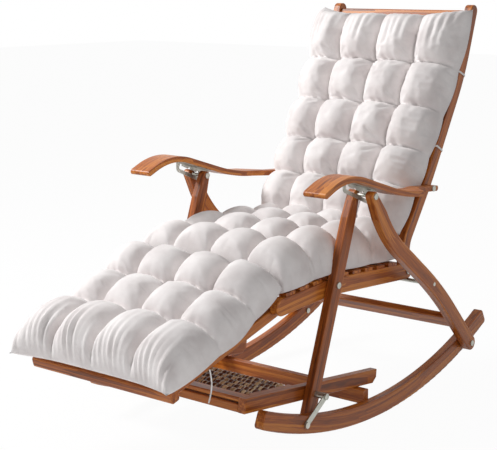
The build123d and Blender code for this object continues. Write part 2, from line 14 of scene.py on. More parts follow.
import bmesh
import bpy
import numpy as np
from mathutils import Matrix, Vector


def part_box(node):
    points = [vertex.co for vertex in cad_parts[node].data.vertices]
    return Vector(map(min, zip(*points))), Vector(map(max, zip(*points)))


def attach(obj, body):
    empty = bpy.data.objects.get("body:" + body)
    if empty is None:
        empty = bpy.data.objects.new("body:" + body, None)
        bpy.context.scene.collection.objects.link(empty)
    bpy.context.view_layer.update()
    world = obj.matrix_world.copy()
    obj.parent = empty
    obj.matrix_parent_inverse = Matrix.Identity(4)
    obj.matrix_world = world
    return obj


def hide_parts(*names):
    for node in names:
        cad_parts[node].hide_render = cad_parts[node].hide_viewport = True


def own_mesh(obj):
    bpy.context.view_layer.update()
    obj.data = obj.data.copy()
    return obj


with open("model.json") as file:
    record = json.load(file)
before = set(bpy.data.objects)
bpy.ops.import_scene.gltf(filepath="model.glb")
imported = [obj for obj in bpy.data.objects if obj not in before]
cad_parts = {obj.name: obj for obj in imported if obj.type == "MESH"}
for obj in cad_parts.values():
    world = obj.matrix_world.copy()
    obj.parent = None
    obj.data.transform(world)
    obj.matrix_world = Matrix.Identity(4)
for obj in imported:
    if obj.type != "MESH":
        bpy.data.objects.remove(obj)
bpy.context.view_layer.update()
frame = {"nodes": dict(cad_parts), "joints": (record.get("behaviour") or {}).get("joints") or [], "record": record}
LOG = logging.getLogger("rocking_chair")

# Distance in the gauge of the CAD's side paths from the armrest tip to the middle of the rockers' flats
FLAT_GAUGE_Y = 0.250
GAUGE_Y = frame["record"]["mounts"][0]["pos_m"][1] - FLAT_GAUGE_Y

PATH_STEP = 0.001
ARC_POINTS = 40
NEAR_ZERO = 1e-9
WELD = 1e-6
MM_PER_M = 1000.0
SIDES = (("left", 1), ("right", -1))

# Mesh attributes of the wooden pieces: each point's place along and across the grain, and the piece's tone
GRAIN = "grain"
TONE = "tone"


def linear(hex_colour: str) -> tuple[float, float, float, float]:
    """Turns an sRGB hex colour into linear light.

    Args:
        hex_colour: Colour as "#RRGGBB".

    Returns:
        Red, green, blue and alpha, linear.
    """
    parts = np.array([int(hex_colour[i:i + 2], 16) for i in (1, 3, 5)]) / 255.0
    low = parts / 12.92
    high = ((parts + 0.055) / 1.055) ** 2.4
    return (*np.where(parts <= 0.04045, low, high).tolist(), 1.0)


Owner = bpy.types.Material | bpy.types.World


def wire(owner: Owner, node: bpy.types.Node, inputs: dict) -> None:
    """Sets or links a shader node's inputs.

    Args:
        owner: Material or world that holds the node.
        node: The node.
        inputs: Socket name or index to a value, or to an output socket to link from.
    """
    for key, value in inputs.items():
        if isinstance(value, bpy.types.NodeSocket):
            owner.node_tree.links.new(value, node.inputs[key])
        else:
            node.inputs[key].default_value = value


def add_node(owner: Owner, kind: str, inputs: dict | None = None, **settings) -> bpy.types.Node:
    """Adds a shader node with its settings, and sets or links its inputs.

    Args:
        owner: Material or world whose node tree gets the node.
        kind: Blender's node type name.
        inputs: Socket name or index to a value, or to an output socket to link from.
        settings: Node attributes to set.

    Returns:
        The new node.
    """
    node = owner.node_tree.nodes.new(kind)
    for name, value in settings.items():
        setattr(node, name, value)
    wire(owner, node, inputs or {})
    return node


def new_material(name: str) -> tuple[bpy.types.Material, bpy.types.Node]:
    """Makes an empty node material.

    Args:
        name: Material name.

    Returns:
        The material and its Principled shader, already linked to the output.
    """
    material = bpy.data.materials.new(name)
    material.use_nodes = True
    material.node_tree.nodes.clear()
    shader = add_node(material, "ShaderNodeBsdfPrincipled")
    add_node(material, "ShaderNodeOutputMaterial", {"Surface": shader.outputs["BSDF"]})
    return material, shader


def straight_rays(owner: Owner) -> bpy.types.NodeSocket:
    """Tells rays that show a surface, straight, mirrored or through glass, from rays that only light it.

    Args:
        owner: Material or world to add the nodes to.

    Returns:
        Socket that is 1 on rays from the camera, from a shiny surface or through a clear one.
    """
    rays = add_node(owner, "ShaderNodeLightPath")
    mirrored = add_node(owner, "ShaderNodeMath", {
        0: rays.outputs["Is Camera Ray"], 1: rays.outputs["Is Glossy Ray"],
    }, operation="MAXIMUM")
    clear = add_node(owner, "ShaderNodeMath", {
        0: mirrored.outputs["Value"], 1: rays.outputs["Is Transmission Ray"],
    }, operation="MAXIMUM")
    return clear.outputs["Value"]


def colour_ramp(
    material: bpy.types.Material, factor: bpy.types.NodeSocket, stops: list
) -> bpy.types.NodeSocket:
    """Maps a factor to colours.

    Args:
        material: Material to add the ramp to.
        factor: Socket that drives the ramp.
        stops: Pairs of position and hex colour, in order.

    Returns:
        The ramp's colour socket.
    """
    ramp = add_node(material, "ShaderNodeValToRGB", {"Fac": factor})
    elements = ramp.color_ramp.elements
    while len(elements) < len(stops):
        elements.new(1.0)
    for element, (position, colour) in zip(elements, stops):
        element.position = position
        element.color = linear(colour)
    return ramp.outputs["Color"]


@dataclass(frozen=True)
class BambooFinish:
    """Carbonised laminated bamboo, planed and varnished.

    Fine fibre lines run along the piece, in strips of slightly different brown, with a soft shine.
    """

    pale: str = "#D28436"
    middle: str = "#A5571D"
    deep: str = "#612C09"
    fibre_mm: float = 2.2
    strip_mm: float = 6.0
    strip_share: float = 0.55
    knuckle_mm: float = 260.0
    cloud_mm: float = 26.4
    stretch: float = 26.0
    tone_range: tuple = (0.8, 1.75)
    middle_at: float = 0.45
    bump: float = 0.12
    bump_depth: float = 0.0006
    roughness: float = 0.36
    gloss_range: tuple = (-0.06, 0.12)
    coat: float = 0.08
    coat_roughness: float = 0.18
    ior: float = 1.5
    specular: float = 0.3

    def make(self, name: str) -> bpy.types.Material:
        """Makes the finish. It reads each point's place in the wood and the piece's own tone from the mesh.

        Args:
            name: Material name.

        Returns:
            The material.
        """
        material, shader = new_material(name)
        place = add_node(material, "ShaderNodeAttribute", attribute_name=GRAIN).outputs["Vector"]
        tone = add_node(material, "ShaderNodeAttribute", attribute_name=TONE).outputs["Fac"]
        fibre_place = add_node(material, "ShaderNodeMapping", {
            "Vector": place, "Scale": (1 / self.stretch, 1.0, 1.0),
        })
        fibre = add_node(material, "ShaderNodeTexNoise", {
            "Vector": fibre_place.outputs["Vector"], "Scale": MM_PER_M / self.fibre_mm,
            "Detail": 4.0, "Roughness": 0.6,
        })
        strip_place = add_node(material, "ShaderNodeMapping", {
            "Vector": place,
            "Scale": tuple(MM_PER_M / size for size in (self.knuckle_mm, self.strip_mm, self.strip_mm)),
        })
        strip = add_node(material, "ShaderNodeTexVoronoi", {
            "Vector": strip_place.outputs["Vector"], "Scale": 1.0, "Randomness": 0.35,
        }, feature="F1")
        strip_tone = add_node(material, "ShaderNodeSeparateColor", {"Color": strip.outputs["Color"]})
        cloud = add_node(material, "ShaderNodeTexNoise", {
            "Vector": fibre_place.outputs["Vector"], "Scale": MM_PER_M / self.cloud_mm, "Detail": 2.0,
        })
        blend = add_node(material, "ShaderNodeMath", {
            0: fibre.outputs["Fac"], 1: cloud.outputs["Fac"],
        }, operation="ADD")
        with_strip = add_node(material, "ShaderNodeMath", {
            0: strip_tone.outputs[0], 1: self.strip_share, 2: blend.outputs["Value"],
        }, operation="MULTIPLY_ADD")
        toned = add_node(material, "ShaderNodeMath", {
            0: with_strip.outputs["Value"], 1: tone,
        }, operation="ADD")
        factor = add_node(material, "ShaderNodeMapRange", {
            "Value": toned.outputs["Value"], "From Min": self.tone_range[0], "From Max": self.tone_range[1],
        })
        colour = colour_ramp(material, factor.outputs["Result"], [
            (0.0, self.deep), (self.middle_at, self.middle), (1.0, self.pale),
        ])
        bump = add_node(material, "ShaderNodeBump", {
            "Height": fibre.outputs["Fac"], "Strength": self.bump, "Distance": self.bump_depth,
        })
        gloss = add_node(material, "ShaderNodeMapRange", {
            "Value": fibre.outputs["Fac"], "To Min": self.roughness + self.gloss_range[0],
            "To Max": self.roughness + self.gloss_range[1],
        })
        wire(material, shader, {
            "Base Color": colour, "Roughness": gloss.outputs["Result"], "Normal": bump.outputs["Normal"],
            "Coat Weight": self.coat, "Coat Roughness": self.coat_roughness, "IOR": self.ior,
            "Specular IOR Level": self.specular,
        })
        return material


@dataclass(frozen=True)
class ZincFinish:
    """Pressed steel, zinc plated: a pale grey metal with a cloudy spangle and dulled patches."""

    bright: str = "#C8C8C0"
    dull: str = "#96978D"
    spangle_mm: float = 14.0
    spangle_range: tuple = (0.3, 0.7)
    roughness: float = 0.34
    gloss_range: tuple = (-0.1, 0.2)

    def make(self, name: str) -> bpy.types.Material:
        """Makes the finish.

        Args:
            name: Material name.

        Returns:
            The material.
        """
        material, shader = new_material(name)
        place = add_node(material, "ShaderNodeTexCoord").outputs["Object"]
        spangle = add_node(material, "ShaderNodeTexNoise", {
            "Vector": place, "Scale": MM_PER_M / self.spangle_mm, "Detail": 5.0, "Roughness": 0.65,
        })
        stops = list(zip(self.spangle_range, (self.dull, self.bright)))
        colour = colour_ramp(material, spangle.outputs["Fac"], stops)
        gloss = add_node(material, "ShaderNodeMapRange", {
            "Value": spangle.outputs["Fac"], "To Min": self.roughness + self.gloss_range[0],
            "To Max": self.roughness + self.gloss_range[1],
        })
        wire(material, shader, {"Base Color": colour, "Roughness": gloss.outputs["Result"], "Metallic": 1.0})
        return material


@dataclass(frozen=True)
class BeadFinish:
    """Turned bamboo beads, varnished: dark and pale rings side by side, three to a bead."""

    dark: str = "#5E321A"
    pale: str = "#D8B98E"
    bead_mm: float = 4.72
    dark_share: float = 0.48
    pale_from: float = 0.56
    fibre_scale: float = 900.0
    bump: float = 0.1
    bump_depth: float = 0.0005
    roughness: float = 0.33
    coat: float = 0.25

    def make(self, name: str, phase: float) -> bpy.types.Material:
        """Makes the finish for one roller.

        Args:
            name: Material name.
            phase: Shift of the bead order, in beads.

        Returns:
            The material.
        """
        material, shader = new_material(name)
        place = add_node(material, "ShaderNodeTexCoord").outputs["Object"]
        parts = add_node(material, "ShaderNodeSeparateXYZ", {"Vector": place})
        order = add_node(material, "ShaderNodeMath", {
            0: parts.outputs["X"], 1: MM_PER_M / self.bead_mm, 2: phase,
        }, operation="MULTIPLY_ADD")
        index = add_node(material, "ShaderNodeMath", {0: order.outputs["Value"]}, operation="FLOOR")
        tone = add_node(material, "ShaderNodeTexWhiteNoise", {
            "W": index.outputs["Value"],
        }, noise_dimensions="1D")
        colour = colour_ramp(material, tone.outputs["Value"], [
            (0.0, self.dark), (self.dark_share, self.dark), (self.pale_from, self.pale), (1.0, self.pale),
        ])
        fibre = add_node(material, "ShaderNodeTexNoise", {
            "Vector": place, "Scale": self.fibre_scale, "Detail": 3.0,
        })
        bump = add_node(material, "ShaderNodeBump", {
            "Height": fibre.outputs["Fac"], "Strength": self.bump, "Distance": self.bump_depth,
        })
        wire(material, shader, {
            "Base Color": colour, "Normal": bump.outputs["Normal"], "Roughness": self.roughness,
            "Coat Weight": self.coat,
        })
        return material


@dataclass(frozen=True)
class CottonFinish:
    """Plain-woven brushed cotton over polyester filling: warm off-white and matt, with a faint sheen.

    The real threads lie under a millimetre apart, too fine to show, so the weave is drawn coarser.
    """

    crest: str = "#EFEAE9"
    fold: str = "#DDD6D5"
    thread_mm: float = 2.0
    mottle_mm: float = 60.0
    mottle_range: tuple = (0.3, 0.62)
    bump: float = 0.1
    bump_depth: float = 0.0004
    roughness: float = 0.92
    sheen: float = 0.25
    sheen_roughness: float = 0.5
    specular: float = 0.2

    def make(self, name: str) -> bpy.types.Material:
        """Makes the finish.

        Args:
            name: Material name.

        Returns:
            The material.
        """
        material, shader = new_material(name)
        coordinates = add_node(material, "ShaderNodeTexCoord")
        threads = [
            add_node(material, "ShaderNodeTexWave", {
                "Vector": coordinates.outputs["UV"], "Scale": MM_PER_M / self.thread_mm / math.tau * 2,
                "Distortion": 0.6,
            }, bands_direction=direction)
            for direction in ("X", "Y")
        ]
        weave = add_node(material, "ShaderNodeMath", {
            0: threads[0].outputs["Fac"], 1: threads[1].outputs["Fac"],
        }, operation="ADD")
        mottle = add_node(material, "ShaderNodeTexNoise", {
            "Vector": coordinates.outputs["Object"], "Scale": MM_PER_M / self.mottle_mm, "Detail": 4.0,
        })
        stops = list(zip(self.mottle_range, (self.fold, self.crest)))
        colour = colour_ramp(material, mottle.outputs["Fac"], stops)
        bump = add_node(material, "ShaderNodeBump", {
            "Height": weave.outputs["Value"], "Strength": self.bump, "Distance": self.bump_depth,
        })
        wire(material, shader, {
            "Base Color": colour, "Normal": bump.outputs["Normal"], "Roughness": self.roughness,
            "Sheen Weight": self.sheen, "Sheen Roughness": self.sheen_roughness,
            "Specular IOR Level": self.specular,
        })
        return material


def bent_path(points: list, radii: list) -> np.ndarray:
    """Samples a line of straight runs whose corners are rounded by arcs.

    Each corner is replaced by an arc of its radius, which touches both runs at radius times the tangent of half
    the turn from the corner. The line is then sampled at even distances.

    Args:
        points: (y, z) corners, in metres.
        radii: Radius at each inner corner.

    Returns:
        Array of (y, z) samples.
    """
    corners = np.array(points, float)
    pieces = [corners[:1]]
    for before, corner, after, radius in zip(corners, corners[1:], corners[2:], radii):
        first = (corner - before) / np.linalg.norm(corner - before)
        last = (after - corner) / np.linalg.norm(after - corner)
        turn = math.atan2(first[0] * last[1] - first[1] * last[0], float(first @ last))
        touch = corner - first * radius * math.tan(abs(turn) / 2)
        side = np.array([-first[1], first[0]]) * math.copysign(radius, turn)
        angles = np.linspace(0.0, turn, ARC_POINTS)[:, None]
        arm = -side
        spun = np.concatenate([
            np.cos(angles) * arm[0] - np.sin(angles) * arm[1],
            np.sin(angles) * arm[0] + np.cos(angles) * arm[1],
        ], axis=1)
        pieces.append(touch + side + spun)
    pieces.append(corners[-1:])
    line = np.concatenate(pieces)
    runs = np.concatenate([[0.0], np.cumsum(np.linalg.norm(np.diff(line, axis=0), axis=1))])
    places = np.linspace(0.0, runs[-1], max(2, int(runs[-1] / PATH_STEP)))
    return np.stack([np.interp(places, runs, line[:, i]) for i in (0, 1)], axis=1)


# Ridges in the cloth: number of sines, spread of their lengths and height that scales their sum to about 1
RIPPLE_TERMS = 7
RIPPLE_SPREAD = (0.6, 1.5)
RIPPLE_HEIGHT = 3.2

# Shifts of a run's seed, so that its gathers and its side folds differ from its rows
GATHER_SEED = 50
SIDE_SEED = 90


class EndKind(Enum):
    """How a run of the pad ends."""

    SEWN = "sewn"
    JOINED = "joined"


@dataclass
class PadRun:
    """One run of the tufted pad: rows of lobes between tufts, on the slats that carry it.

    Across the pad u goes from -1 to 1, and along it v counts rows. In each cell between four tufts, the height
    is tuft + saddle * A + valley * B + crown * A * B, where A and B are round humps across and along the cell.
    So the tufts lie deepest, the valleys between columns nearly as deep, and lobes of one column join over low
    saddles. The cloth is then blown up by its filling.
    """

    name: str
    node: str
    body: str
    line: np.ndarray
    halves: tuple[float, float]
    rows: tuple[float, ...]
    ends: tuple[EndKind, EndKind]
    seed: int
    columns: int = 4
    tuft: float = 0.040
    saddle: float = 0.032
    valley: float = 0.016
    crown: float = 0.030
    seam: float = 0.024
    edge_bulge: float = 0.006
    ear: float = 0.022
    across: int = 112
    per_row: int = 30
    hump_power: float = 2.3
    side_power: float = 6.0
    end_power: float = 5.0
    under_power: float = 9.0
    ear_fade: float = 3.0
    ear_power: float = 4.0
    ear_rest: float = 0.35
    gather: float = 0.0095
    gather_waves: int = 21
    gather_fade: float = 0.26
    wrinkle: float = 0.0014
    wrinkle_waves: int = 15
    wrinkle_fade: float = 0.16
    side_waves: int = 5
    side_fade: float = 0.12
    pucker: float = 0.0048
    pucker_folds: tuple = (8, 13)
    pucker_turns: tuple = ((2.4, 1.7), (-1.3, 2.9))
    pucker_second: float = 0.7
    pucker_fade: float = 0.17
    pucker_start: float = 0.05
    tuft_size: float = 0.42
    line_width: float = 0.10
    valley_hold: float = 0.70
    saddle_hold: float = 0.55
    hold_steps: int = 8
    pressure: float = 5.0
    stiffness: float = 15.0
    bending: float = 0.3
    slack: float = 0.02
    frames: int = 14
    swell: float = 0.008

    def hump(self, t: np.ndarray) -> np.ndarray:
        """Gives a round hump, steep at its ends.

        Args:
            t: Place along the hump, -1 to 1.

        Returns:
            Heights, 1 in the middle and 0 at both ends.
        """
        return np.sqrt(np.clip(1.0 - np.abs(t) ** self.hump_power, 0.0, 1.0))

    @staticmethod
    def ripple(along: np.ndarray, waves: float, seed: int) -> np.ndarray:
        """Irregular ridges: a sum of sines whose lengths and phases are drawn from a seed.

        Args:
            along: Coordinate that the ridges run across, 0 to 1.
            waves: Mean number of ridges.
            seed: Seed of the draw.

        Returns:
            Heights from about -1 to 1.
        """
        draw = np.random.default_rng(seed)
        counts = waves * draw.uniform(*RIPPLE_SPREAD, RIPPLE_TERMS)
        phases = draw.uniform(0.0, math.tau, RIPPLE_TERMS)
        terms = np.sin(math.tau * along[..., None] * counts + phases)
        return terms.sum(axis=-1) / RIPPLE_HEIGHT

    @property
    def row_count(self) -> int:
        """Number of rows of lobes."""
        return len(self.rows)

    def cell(self, u: np.ndarray, v: np.ndarray) -> tuple[np.ndarray, np.ndarray]:
        """Place inside the cell between four tufts, held at the middle where a sewn edge ends the cell.

        Args:
            u: Place across, -1 to 1.
            v: Place along, in rows.

        Returns:
            Places across and along the cell, -1 to 1.
        """
        column = (u + 1) / 2 * self.columns
        a = 2 * (column - np.clip(np.floor(column), 0, self.columns - 1)) - 1
        a = np.where(np.abs(u) > 1 - 1 / self.columns, 0.0, a)
        b = 2 * (v - np.clip(np.floor(v), 0, self.row_count - 1)) - 1
        if self.ends[0] is EndKind.SEWN:
            b = np.where(v < 0.5, 0.0, b)
        if self.ends[1] is EndKind.SEWN:
            b = np.where(v > self.row_count - 0.5, 0.0, b)
        return a, b

    def folds(self, u: np.ndarray, v: np.ndarray) -> np.ndarray:
        """Gives small folds: ridges that run out from the lines between tufts, and gathers at the sewn edges.

        Args:
            u: Place across, -1 to 1.
            v: Place along, in rows.

        Returns:
            Offsets in metres.
        """
        total = np.zeros_like(u)
        from_row = np.abs(v - np.round(v))
        for row in range(1, self.row_count):
            near = np.where(np.round(v) == row, np.exp(-from_row / self.wrinkle_fade), 0.0)
            total += self.wrinkle * near * self.ripple((u + 1) / 2, self.wrinkle_waves, self.seed + row)
        for index, at in enumerate((0.0, float(self.row_count))):
            if self.ends[index] is EndKind.SEWN:
                near = np.exp(-np.abs(v - at) / self.gather_fade)
                ridges = self.ripple((u + 1) / 2, self.gather_waves, self.seed + GATHER_SEED + index)
                total += self.gather * near * ridges
        total += self.pucker * self.puckers(u, v)
        near_side = np.exp(-(1 - np.abs(u)) / self.side_fade)
        ridges = self.ripple(v / self.row_count, self.side_waves * self.row_count, self.seed + SIDE_SEED)
        return total + self.wrinkle * near_side * ridges

    def puckers(self, u: np.ndarray, v: np.ndarray) -> np.ndarray:
        """Gives creases that run out from each tuft: sines of the angle round it, strongest a little way off.

        Args:
            u: Place across, -1 to 1.
            v: Place along, in rows.

        Returns:
            Heights from about -1 to 1.
        """
        column = (u + 1) / 2 * self.columns
        nearest, row = np.round(column), np.round(v)
        aside, ahead = column - nearest, v - row
        off = np.hypot(aside, ahead)
        angle = np.arctan2(ahead, aside)
        few, many = self.pucker_folds
        (aside_few, ahead_few), (aside_many, ahead_many) = self.pucker_turns
        ridges = np.sin(few * angle + aside_few * nearest + ahead_few * row + self.seed)
        ridges += self.pucker_second * np.sin(many * angle + aside_many * nearest + ahead_many * row)
        inner = (nearest > 0) & (nearest < self.columns)
        for at, kind in zip((0, self.row_count), self.ends):
            if kind is EndKind.SEWN:
                inner &= row != at
        fade = np.exp(-off / self.pucker_fade) * (1 - np.exp(-off / self.pucker_start))
        return np.where(inner, ridges * fade, 0.0)

    def sheets(self) -> tuple[np.ndarray, np.ndarray, np.ndarray, np.ndarray]:
        """Works out the top and the underside as grids of points.

        Returns:
            Top points, underside points, the cloth's own (across, along) places, and how firmly the top is
            held.
        """
        count = self.row_count * self.per_row + 1
        v, u = np.meshgrid(
            np.linspace(0, self.row_count, count), np.linspace(-1, 1, self.across + 1), indexing="ij"
        )
        lengths = np.concatenate([[0.0], np.cumsum(self.rows)])
        share = np.interp(v, np.arange(self.row_count + 1), lengths / lengths[-1])
        index = np.arange(len(self.line))
        place = share * index[-1]
        slopes = slopes_of(self.line)
        y, ty = (np.interp(place, index, values[:, 0]) for values in (self.line, slopes))
        z, tz = (np.interp(place, index, values[:, 1]) for values in (self.line, slopes))
        row_middle = np.abs(np.sin(math.pi * v))
        half = self.halves[0] + (self.halves[1] - self.halves[0]) * share
        half += self.edge_bulge * (row_middle - 1)
        side = np.clip(1 - np.abs(u) ** self.side_power, 0, 1) ** 0.5
        end = np.ones_like(v)
        reach = np.zeros_like(v)
        for at, kind, way in zip((0.0, float(self.row_count)), self.ends, (-1, 1)):
            if kind is EndKind.SEWN:
                close = 1 - np.clip(np.abs(v - at), 0, 1)
                end *= np.clip(1 - close ** self.end_power, 0, 1) ** 0.5
                reach += way * self.ear * close ** self.ear_fade * (np.abs(u) ** self.ear_power - self.ear_rest)
        full = side * end
        a, b = self.cell(u, v)
        hump_a, hump_b = self.hump(a), self.hump(b)
        height = self.tuft + self.saddle * hump_a + self.valley * hump_b + self.crown * hump_a * hump_b
        top = self.seam + (height - self.seam) * full + self.folds(u, v) * np.sqrt(full)
        under = self.seam * (1 - np.clip(1 - np.abs(u) ** self.under_power, 0, 1) ** 0.5 * end)
        grids = [
            np.stack([u * half, y + ty * reach - tz * lift, z + tz * reach + ty * lift], axis=-1)
            for lift in (np.maximum(top, under), under)
        ]
        tufts = np.where((hump_a < self.tuft_size) & (hump_b < self.tuft_size), 1.0, 0.0)
        valleys = self.valley_hold * np.exp(-(1 - np.abs(a)) / self.line_width)
        saddles = self.saddle_hold * np.exp(-(1 - np.abs(b)) / self.line_width)
        sewn = np.where(full > 0.5, np.maximum(tufts, np.maximum(valleys, saddles)), 0.0)
        length = len(self.line) * PATH_STEP
        return grids[0], grids[1], np.stack([u * half, share * length], axis=-1), sewn

    def build(self, finish: bpy.types.Material) -> bpy.types.Object:
        """Makes the run as one closed mesh and blows it up.

        Args:
            finish: Fabric of the pad.

        Returns:
            The pad's object.
        """
        top, under, cloth, sewn = self.sheets()
        for index, kind in zip((0, -1), self.ends):
            if kind is EndKind.JOINED:
                sewn[index, :] = 1.0
        held = np.concatenate([sewn.ravel(), np.ones(sewn.size)])
        piece = closed_sheets(self.name, top, under, cloth, held)
        piece.data.materials.append(finish)
        self.blow_up(piece)
        return piece

    def blow_up(self, piece: bpy.types.Object) -> None:
        """Lets a cloth simulation fill the pad between its tufts, and keeps the result.

        The cloth is cut a little larger than the shape, so it wrinkles where the tufts and seams hold it.

        Args:
            piece: The pad, with a "held" attribute that goes to 1 where it may not move.
        """
        mesh = piece.data
        count = len(mesh.vertices)
        held = np.zeros(count, np.float32)
        mesh.attributes["held"].data.foreach_get("value", held)
        rest = np.zeros(count * 3, np.float32)
        mesh.vertices.foreach_get("co", rest)
        group = piece.vertex_groups.new(name="held")
        steps = np.round(held * self.hold_steps).astype(int)
        for step in range(1, self.hold_steps + 1):
            group.add(np.flatnonzero(steps == step).tolist(), step / self.hold_steps, "REPLACE")
        modifier = piece.modifiers.new("filling", "CLOTH")
        cloth = modifier.settings
        cloth.vertex_group_mass = group.name
        cloth.use_pressure = True
        cloth.uniform_pressure_force = self.pressure
        cloth.effector_weights.gravity = 0.0
        cloth.shrink_min = -self.slack
        cloth.tension_stiffness = self.stiffness
        cloth.compression_stiffness = self.stiffness
        cloth.bending_stiffness = self.bending
        modifier.collision_settings.use_collision = False
        modifier.point_cache.frame_end = self.frames
        for number in range(1, self.frames + 1):
            bpy.context.scene.frame_set(number)
        filled = piece.evaluated_get(bpy.context.evaluated_depsgraph_get()).data
        moved = np.zeros(count * 3, np.float32)
        filled.vertices.foreach_get("co", moved)
        piece.modifiers.remove(modifier)
        piece.vertex_groups.remove(group)
        bpy.context.scene.frame_set(1)
        shift = (moved - rest).reshape(-1, 3)
        far = np.linalg.norm(shift, axis=1, keepdims=True)
        shift *= np.minimum(1.0, self.swell / np.maximum(far, NEAR_ZERO))
        mesh.vertices.foreach_set("co", (rest.reshape(-1, 3) + shift).astype(np.float32).ravel())
        mesh.update()
        LOG.info("%s swelled by up to %.1f mm", piece.name, MM_PER_M * float(far.max()))


def closed_sheets(
    name: str, top: np.ndarray, under: np.ndarray, cloth: np.ndarray, held: np.ndarray
) -> bpy.types.Object:
    """Joins two grids of points along their borders into one closed mesh.

    Args:
        name: Object name.
        top: Upper grid of points.
        under: Lower grid of points, of the same size.
        cloth: (across, along) place of each grid point, for the UV map.
        held: How firmly each point of both grids is held, 1 where it may not move.

    Returns:
        The new object, with its faces pointing outwards.
    """
    rows, columns = top.shape[:2]
    index = np.arange(rows * columns).reshape(rows, columns)
    below = index + rows * columns

    def quads(grid: np.ndarray, flip: bool) -> np.ndarray:
        """Gives the faces of a grid of vertex numbers, turned over where flip is set."""
        face = np.stack([grid[:-1, :-1], grid[:-1, 1:], grid[1:, 1:], grid[1:, :-1]], axis=-1).reshape(-1, 4)
        return face[:, ::-1] if flip else face

    faces = [quads(index, False), quads(below, True)]
    for border in (np.s_[0, :], np.s_[-1, :], np.s_[:, 0], np.s_[:, -1]):
        faces.append(quads(np.stack([index[border], below[border]]), False))
    faces = np.concatenate(faces)
    points = np.concatenate([top.reshape(-1, 3), under.reshape(-1, 3)])
    mesh = bpy.data.meshes.new(name)
    mesh.from_pydata(points.tolist(), [], faces.tolist())
    layer = mesh.uv_layers.new(name="cloth")
    corners = np.zeros(len(mesh.loops), np.int32)
    mesh.loops.foreach_get("vertex_index", corners)
    places = np.concatenate([cloth.reshape(-1, 2)] * 2)
    layer.data.foreach_set("uv", places[corners].astype(np.float32).ravel())
    mesh.attributes.new("held", "FLOAT", "POINT").data.foreach_set("value", held.astype(np.float32))
    work = bmesh.new()
    work.from_mesh(mesh)
    bmesh.ops.remove_doubles(work, verts=work.verts, dist=WELD)
    bmesh.ops.recalc_face_normals(work, faces=work.faces)
    work.to_mesh(mesh)
    work.free()
    mesh.shade_smooth()
    piece = bpy.data.objects.new(name, mesh)
    bpy.context.scene.collection.objects.link(piece)
    return piece


@dataclass
class Pad:
    """The long tufted pad, in three runs that meet at valleys between rows of lobes."""

    finish: CottonFinish = CottonFinish()
    tie_finish: CottonFinish = CottonFinish(crest="#F2F0EE", fold="#E2DEDB")
    gap: float = 0.0008
    seat_front: tuple = (-0.050, 0.324)
    seat_crown: tuple = (0.140, 0.337)
    seat_rail: float = 0.040
    seat_slat: float = 0.008
    back_heel: tuple = (0.452, 0.388)
    back_waist: tuple = (0.556, 0.540)
    back_shoulder: tuple = (0.705, 0.800)
    back_top: tuple = (0.757, 0.962)
    back_rail: float = 0.032
    back_radii: tuple = (0.075, 1.5, 0.66)
    legrest_pivot: tuple = (-0.020, 0.331)
    legrest_tilt: float = math.radians(16.5)
    legrest_drop: float = 0.017
    legrest_reach: float = 0.385
    legrest_bar: float = 0.025
    legrest_past: float = 0.020
    legrest_knee: float = 0.200
    legrest_bend: float = 0.25
    brow_gap: float = 0.001
    seat_bend: float = 0.9
    seat_short: float = 0.040
    back_start: float = 0.085
    back_short: float = 0.020
    filling: float = 0.8
    legrest_rows: tuple = (0.160, 0.132, 0.104)
    seat_rows: tuple = (0.110, 0.110, 0.110, 0.110)
    back_rows: tuple = (0.108, 0.112, 0.118, 0.132, 0.158)
    legrest_keep: float = 0.20
    foot_half: float = 0.245
    brow_half: float = 0.234
    seat_half: float = 0.219
    back_half: float = 0.242

    def back_line(self) -> np.ndarray:
        """Works out the middle line of the back rails.

        Returns:
            (y, z) samples from the hinge to the top.
        """
        corners = [joint_place("recline"), self.back_heel, self.back_waist, self.back_shoulder, self.back_top]
        return bent_path(corners, list(self.back_radii))

    def runs(self) -> list[PadRun]:
        """Works out the three runs from the rails that carry them.

        Returns:
            Legrest, seat and back runs.
        """
        hinge = joint_place("recline")
        back = lifted(self.back_line(), self.back_rail / 2 + self.gap)
        seat = lifted(bent_path([self.seat_front, self.seat_crown, hinge], [self.seat_bend]),
                      self.seat_rail / 2 + self.seat_slat + self.gap)
        out = np.array([-math.cos(self.legrest_tilt), -math.sin(self.legrest_tilt)])
        up = np.array([out[1], -out[0]])
        zero = np.array(self.legrest_pivot) - up * self.legrest_drop
        lift = up * (self.legrest_bar / 2 + self.gap)
        foot = zero + out * (self.legrest_reach + self.legrest_bar + self.legrest_past) + lift
        knee = zero + out * self.legrest_knee + lift
        brow = seat[0] - (seat[1] - seat[0]) / np.linalg.norm(seat[1] - seat[0]) * self.brow_gap
        legrest = bent_path([foot, knee, brow], [self.legrest_bend])
        seat = seat[:-samples(self.seat_short)]
        back = back[samples(self.back_start):-samples(self.back_short)]
        sewn, joined = EndKind.SEWN, EndKind.JOINED
        return [
            PadRun("pad_legrest", "cushion_legrest", "legrest", legrest, (self.foot_half, self.brow_half),
                   self.legrest_rows, (sewn, joined), seed=11),
            PadRun("pad_seat", "cushion_seat", "seat", seat, (self.brow_half, self.seat_half),
                   self.seat_rows, (joined, joined), seed=23, seam=0.010),
            PadRun("pad_back", "cushion_back", "backrest", back, (self.seat_half, self.back_half),
                   self.back_rows, (joined, sewn), seed=37, seam=0.018, gather=0.0040),
        ]

    def build(self) -> None:
        """Builds the runs, and lets each ride on what carries it."""
        fabric = self.finish.make("brushed_cotton")
        for run in self.runs():
            run.line = run.line + np.array([GAUGE_Y, 0.0])
            piece = run.build(fabric)
            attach(piece, run.body)
            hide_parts(run.node)
            if run.body == "legrest":
                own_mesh(piece)
            LOG.info("%s: %d vertices", run.name, len(piece.data.vertices))


def samples(distance: float) -> int:
    """Counts the samples of a side path in a distance along it.

    Args:
        distance: Distance in metres.

    Returns:
        Number of samples.
    """
    return round(distance / PATH_STEP)


